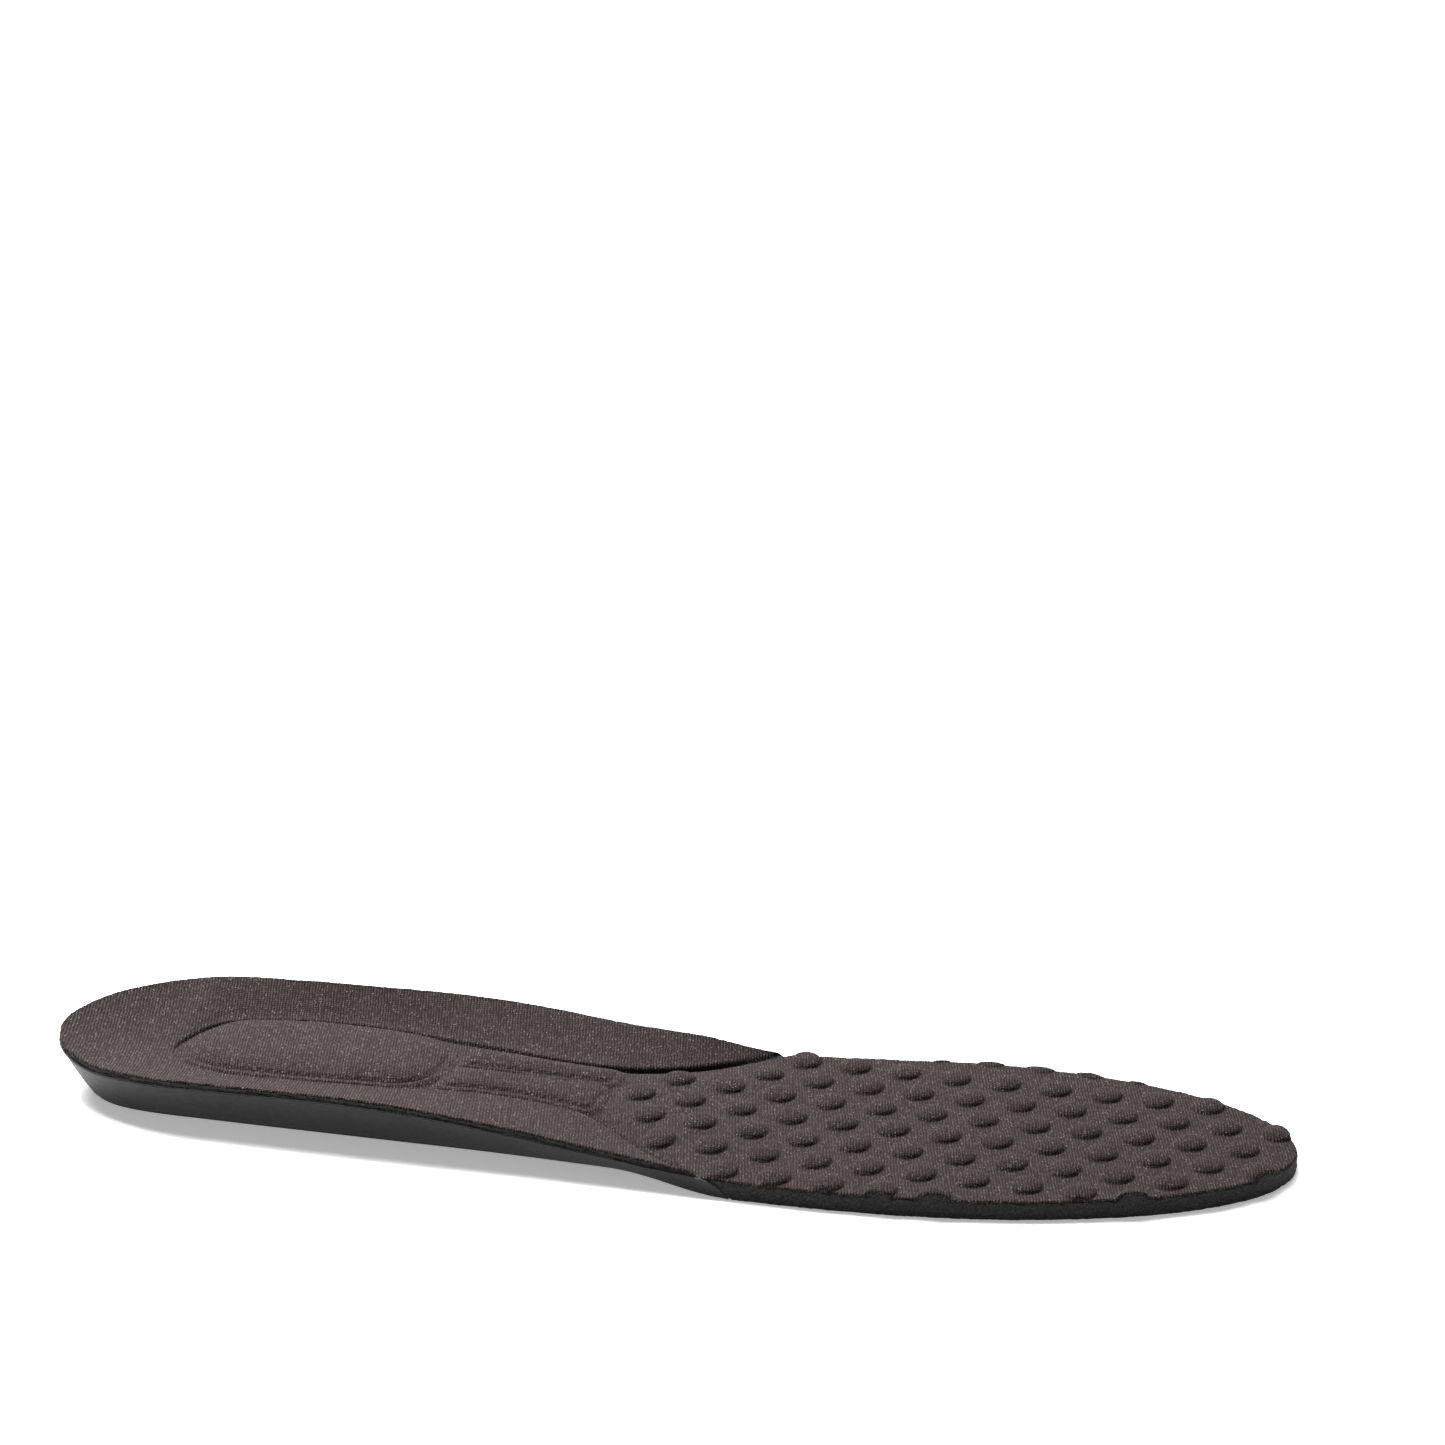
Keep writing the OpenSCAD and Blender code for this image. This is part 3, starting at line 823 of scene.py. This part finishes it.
def make_collar():
    """The U-shaped collar between the sheet and the cover."""
    rng = np.random.default_rng(7)
    tip = WING_END + 1
    start = int(np.argmax((OUTLINE[:, 0] > tip) & (np.roll(OUTLINE[:, 0], -1) <= tip)))
    turned = np.roll(OUTLINE, -start - 1, axis=0)
    rim = turned[turned[:, 0] <= tip]
    inner = LOOP[:-4]
    inner = inner[depth_in(inner, ROUGH_OUTLINE) > 0.8]
    loop = np.vstack([rim, inner[::-1]])
    high, low = cloth_under(loop), sheet_top(loop)
    least = 0.05
    high = np.maximum(high, low + least)
    rings = ragged_wall(loop, high, low, 3, FOAM_RAGGED, rng)
    # Only the rim was cut with a rough edge
    on_rim = np.where(np.arange(len(loop)) < len(rim), 1, 0)[:, None]
    rings[:, :, :2] = loop + (rings[:, :, :2] - loop) * on_rim

    def top(p):
        return np.maximum(foam_top(p), sheet_top(p) + least)

    form = solid(rings, top, sheet_top, UNDER_GRID)
    return make_piece("collar_foam", [form], CUT_FOAM, ["heel_collar"], crease=80)


def make_raised(name, node, loop):
    """A raised pad or bar: rounded over its top edge, flat where it is glued down."""
    loop = thin_loop(loop[::-1] if is_clockwise(loop) else loop, 0.8)
    loop = loop - PIECE_INSET * outward(loop)
    low = sheet_top(loop) + GAP
    rings = np.array([
        np.column_stack([loop, low + 0.05]),
        np.column_stack([loop, low]),
    ])

    def top(p):
        return np.maximum(foam_top(p) - PIECE_DROP, sheet_top(p) + 0.07)

    form = solid(rings, top, lambda p: sheet_top(p) + GAP, 0.8)
    return make_piece(name, [form], PAD_FOAM, [node])


def dome_reach(centre, middle, rays):
    """How far each ray from a dome's middle runs inside the dome and the outline."""
    longest = 2.2 * DOME_HALF[:2].max()
    reach = np.linspace(0, longest, 45)[1:]
    points = (middle + rays[:, None] * reach[None, :, None]).reshape(-1, 2)
    in_dome = (((points - centre) / DOME_HALF[:2]) ** 2).sum(1) < 1
    inside = in_dome & (depth_in(points, ROUGH_OUTLINE) > 0.5)
    count = np.cumprod(inside.reshape(len(rays), -1), axis=1).sum(1)
    return np.maximum(count, 1) * reach[0]


def dome_form(centre, middle):
    """One foam dome's points and faces, cut off where the rim passes through it."""
    angle = np.linspace(0, 2 * math.pi, DOME_SIDES, endpoint=False)
    rays = np.column_stack([np.cos(angle), np.sin(angle)])
    longest = dome_reach(centre, middle, rays)[:, None]
    plan = [middle[None]]
    for share in np.linspace(0, 1, DOME_RINGS + 1)[1:]:
        plan.append(middle + rays * longest * share)
    plan = np.vstack(plan)
    ground = sheet_top(plan) + GAP
    height = np.maximum(cloth_under(plan) - DOME_DROP, ground + 0.02)
    points = np.column_stack([plan, height])
    foot = np.column_stack([plan[-DOME_SIDES:], ground[-DOME_SIDES:]])
    points = np.vstack([points, foot, [[*middle, ground[0]]]])
    last = len(plan)
    faces = []
    for k in range(DOME_SIDES):
        n = (k + 1) % DOME_SIDES
        faces.append([0, 1 + k, 1 + n])
        for ring in range(DOME_RINGS):
            a, b = 1 + ring * DOME_SIDES + k, 1 + ring * DOME_SIDES + n
            faces.append([a, a + DOME_SIDES, b + DOME_SIDES, b])
        faces.append([len(points) - 1, last + n, last + k])
    return points, faces


def make_dome_row(name, domes):
    """One row of foam domes under the cover."""
    forms = [dome_form(centre, middle) for centre, middle, _ in domes]
    return make_piece(f"{name}_foam", forms, PAD_FOAM, [name])


def base_knots():
    """Knots (rim x, rim y, sole x, sole y) from the arch side's front round the heel."""
    points = node_points("heel_base")
    sole = points[points[:, 2] < 0.01, :2]

    def foot_of(rim, middle_y):
        """The outermost sole corner straight in from a rim point."""
        centre = np.array([max(rim[0], HEEL_ROUND_X), middle_y])
        way = rim - centre
        share = (sole - centre) @ way / (way @ way)
        aside = np.linalg.norm(sole - centre - share[:, None] * way, axis=1)
        found = sole[(aside < 0.04) & (share > 0.5) & (share < 1.02)]
        return max(found.tolist(), key=lambda p: np.linalg.norm(p - centre))

    arch, outer = [], []
    for row in SHEET:
        if row[0, 0] > BASE_END + 0.1:
            break
        middle_y = (row[0, 1] + row[-1, 1]) / 2
        outer.append([*row[0, :2], *foot_of(row[0, :2], middle_y)])
        arch.append([*row[-1, :2], *foot_of(row[-1, :2], middle_y)])
    return np.array(arch[::-1] + outer)


def make_base():
    """The moulded base: a leaning wall with a lip at its top and a small round at its foot."""
    line = smooth_curve(base_knots(), 0.8)
    front_edge = np.linspace(line[-1], line[0], 60)[1:-1]
    line = np.vstack([line, front_edge])
    rim, sole = line[:, :2], line[:, 2:]
    normal = outward(rim)
    high = sheet_under(rim) - GAP
    lip = LIP * np.clip(high / 4, 0, 1)
    lip_shares = [0.25, 1] + [0] * WALL_ROWS
    rings = []
    for t, lip_share in zip([0, 0.04, *np.linspace(0.1, 1, WALL_ROWS)], lip_shares):
        place = rim + (sole - rim) * t ** WALL_CURVE + normal * (lip * lip_share)[:, None]
        if t == 1:
            rings.append(np.column_stack([place, np.minimum(FOOT_ROUND, 0.5 * high)]))
            place = place - 0.6 * FOOT_ROUND * outward(sole)
        rings.append(np.column_stack([place, high * (1 - t)]))
    form = solid(
        np.array(rings), lambda p: sheet_under(p) - GAP, lambda p: np.zeros(len(p)),
        UNDER_GRID, under_spacing=2.5)
    return make_piece("moulded_base", [form], MOULDED_FOAM, ["heel_base"], crease=40)


def make_fray(rim):
    """Loose fibres along the cover's cut edge, as thin three-sided tapered tubes."""
    rng = np.random.default_rng(9)
    count, joints = 4200, 4
    normal = outward(rim[:, :2])
    points, faces = [], []
    for _ in range(count):
        i = rng.integers(len(rim))
        root = rim[i] + [0, 0, -rng.uniform(0.05, COVER_T)]
        length = rng.choice([rng.uniform(0.3, 0.8), rng.uniform(0.8, 1.6)], p=[0.85, 0.15])
        side = np.array([-normal[i, 1], normal[i, 0]])
        heading = np.array([*(normal[i] + rng.normal(0, 0.8) * side), rng.normal(0.15, 0.5)])
        heading /= np.linalg.norm(heading)
        thick = rng.uniform(0.025, 0.05)
        place = root - heading * 0.1
        for k in range(joints):
            across = np.cross(heading, [0.2, 0.3, 1.0])
            across /= np.linalg.norm(across)
            other = np.cross(heading, across)
            r = thick * (1 - 0.7 * k / (joints - 1))
            for turn in (0, 2.1, 4.2):
                points.append(place + r * (math.cos(turn) * across + math.sin(turn) * other))
            heading = heading + rng.normal(0, 0.35, 3)
            heading /= np.linalg.norm(heading)
            place = place + heading * length / (joints - 1)
        first = len(points) - 3 * joints
        for k in range(joints - 1):
            a = first + 3 * k
            for s in range(3):
                n = (s + 1) % 3
                faces.append([a + s, a + n, a + 3 + n, a + 3 + s])
        faces.append([first + 2, first + 1, first])
        faces.append([first + 3 * joints - 3, first + 3 * joints - 2, first + 3 * joints - 1])
    points = np.array(points)
    points[:, 2] = np.maximum(points[:, 2], 0.05)
    return make_piece("cover_edge_fray", [(points, faces)], KNIT, [])


cover, cover_rim = make_cover()
fray = make_fray(cover_rim)
sheet_foam = make_sheet_foam()
collar = make_collar()
base = make_base()
pad = make_raised("heel_pad_foam", "heel_pad", PAD_LOOP)
bars = [
    make_raised(f"arch_bar_{side}_foam", f"arch_bar_{side}", loop)
    for side, loop in BAR_LOOPS.items()
]
dome_rows = [make_dome_row(name, DOMES[name]) for name in ROWS]


# ---------------------------------------------------------------- floor, light and camera

def make_floor():
    """A white floor that reaches past the camera's view."""
    floor = bpy.data.meshes.new("floor")
    half = 20.0
    floor.from_pydata(
        [(-half, -half, 0), (half, -half, 0), (half, half, 0), (-half, half, 0)], [], [(0, 1, 2, 3)])
    m = Nodes(
        "floor", Base_Color=grey(0.93), Roughness=0.9, Specular_IOR_Level=0.1,
        Emission_Color=(1, 1, 1, 1), Emission_Strength=0.36)
    floor.materials.append(m.material)
    thing = bpy.data.objects.new("floor", floor)
    thing.location.z = -0.02 * MM
    bpy.context.scene.collection.objects.link(thing)


def make_sun(name, toward, strength, spread):
    """A distant soft light shining along toward."""
    data = bpy.data.lights.new(name, "SUN")
    data.energy = strength
    data.angle = math.radians(spread)
    lamp = bpy.data.objects.new(name, data)
    lamp.rotation_euler = Vector(toward).to_track_quat("-Z", "Y").to_euler()
    bpy.context.scene.collection.objects.link(lamp)


def make_lamp(name, place, power, size):
    """A square soft box at a place, facing the insole's middle."""
    data = bpy.data.lights.new(name, "AREA")
    data.energy = power
    data.size = size
    lamp = bpy.data.objects.new(name, data)
    lamp.location = place
    lamp.rotation_euler = (-Vector(place)).to_track_quat("-Z", "Y").to_euler()
    bpy.context.scene.collection.objects.link(lamp)


def make_world(strength):
    """An even white surround."""
    world = bpy.data.worlds.new("studio")
    world.use_nodes = True
    back = world.node_tree.nodes["Background"]
    back.inputs["Color"].default_value = (1, 1, 1, 1)
    back.inputs["Strength"].default_value = strength
    bpy.context.scene.world = world


def make_camera():
    """A long lens 16 degrees above the floor, with the outer side and heel to the left."""
    data = bpy.data.cameras.new("camera")
    data.sensor_width = 36
    data.lens = 109.13
    data.clip_end = 60
    camera = bpy.data.objects.new("camera", data)
    forward = Vector((-0.223, 0.934, -0.277)).normalized()
    up = Vector((-0.093, 0.262, 0.96))
    right = forward.cross(up).normalized()
    up = right.cross(forward)
    turn = Matrix((right, up, -forward)).transposed().to_4x4()
    camera.matrix_world = Matrix.Translation((0.2160, -0.8691, 0.3480)) @ turn
    bpy.context.scene.collection.objects.link(camera)
    bpy.context.scene.camera = camera


make_floor()
make_sun("key", (0.25, -0.62, -1.0), 3.6, 28)
make_lamp("heel_lamp", (-0.32, 0.16, 0.4), 7.0, 0.25)
make_sun("back", (0.15, -1.0, -0.5), 0.9, 35)
make_world(0.11)
make_camera()
bpy.context.scene.view_settings.view_transform = "Standard"
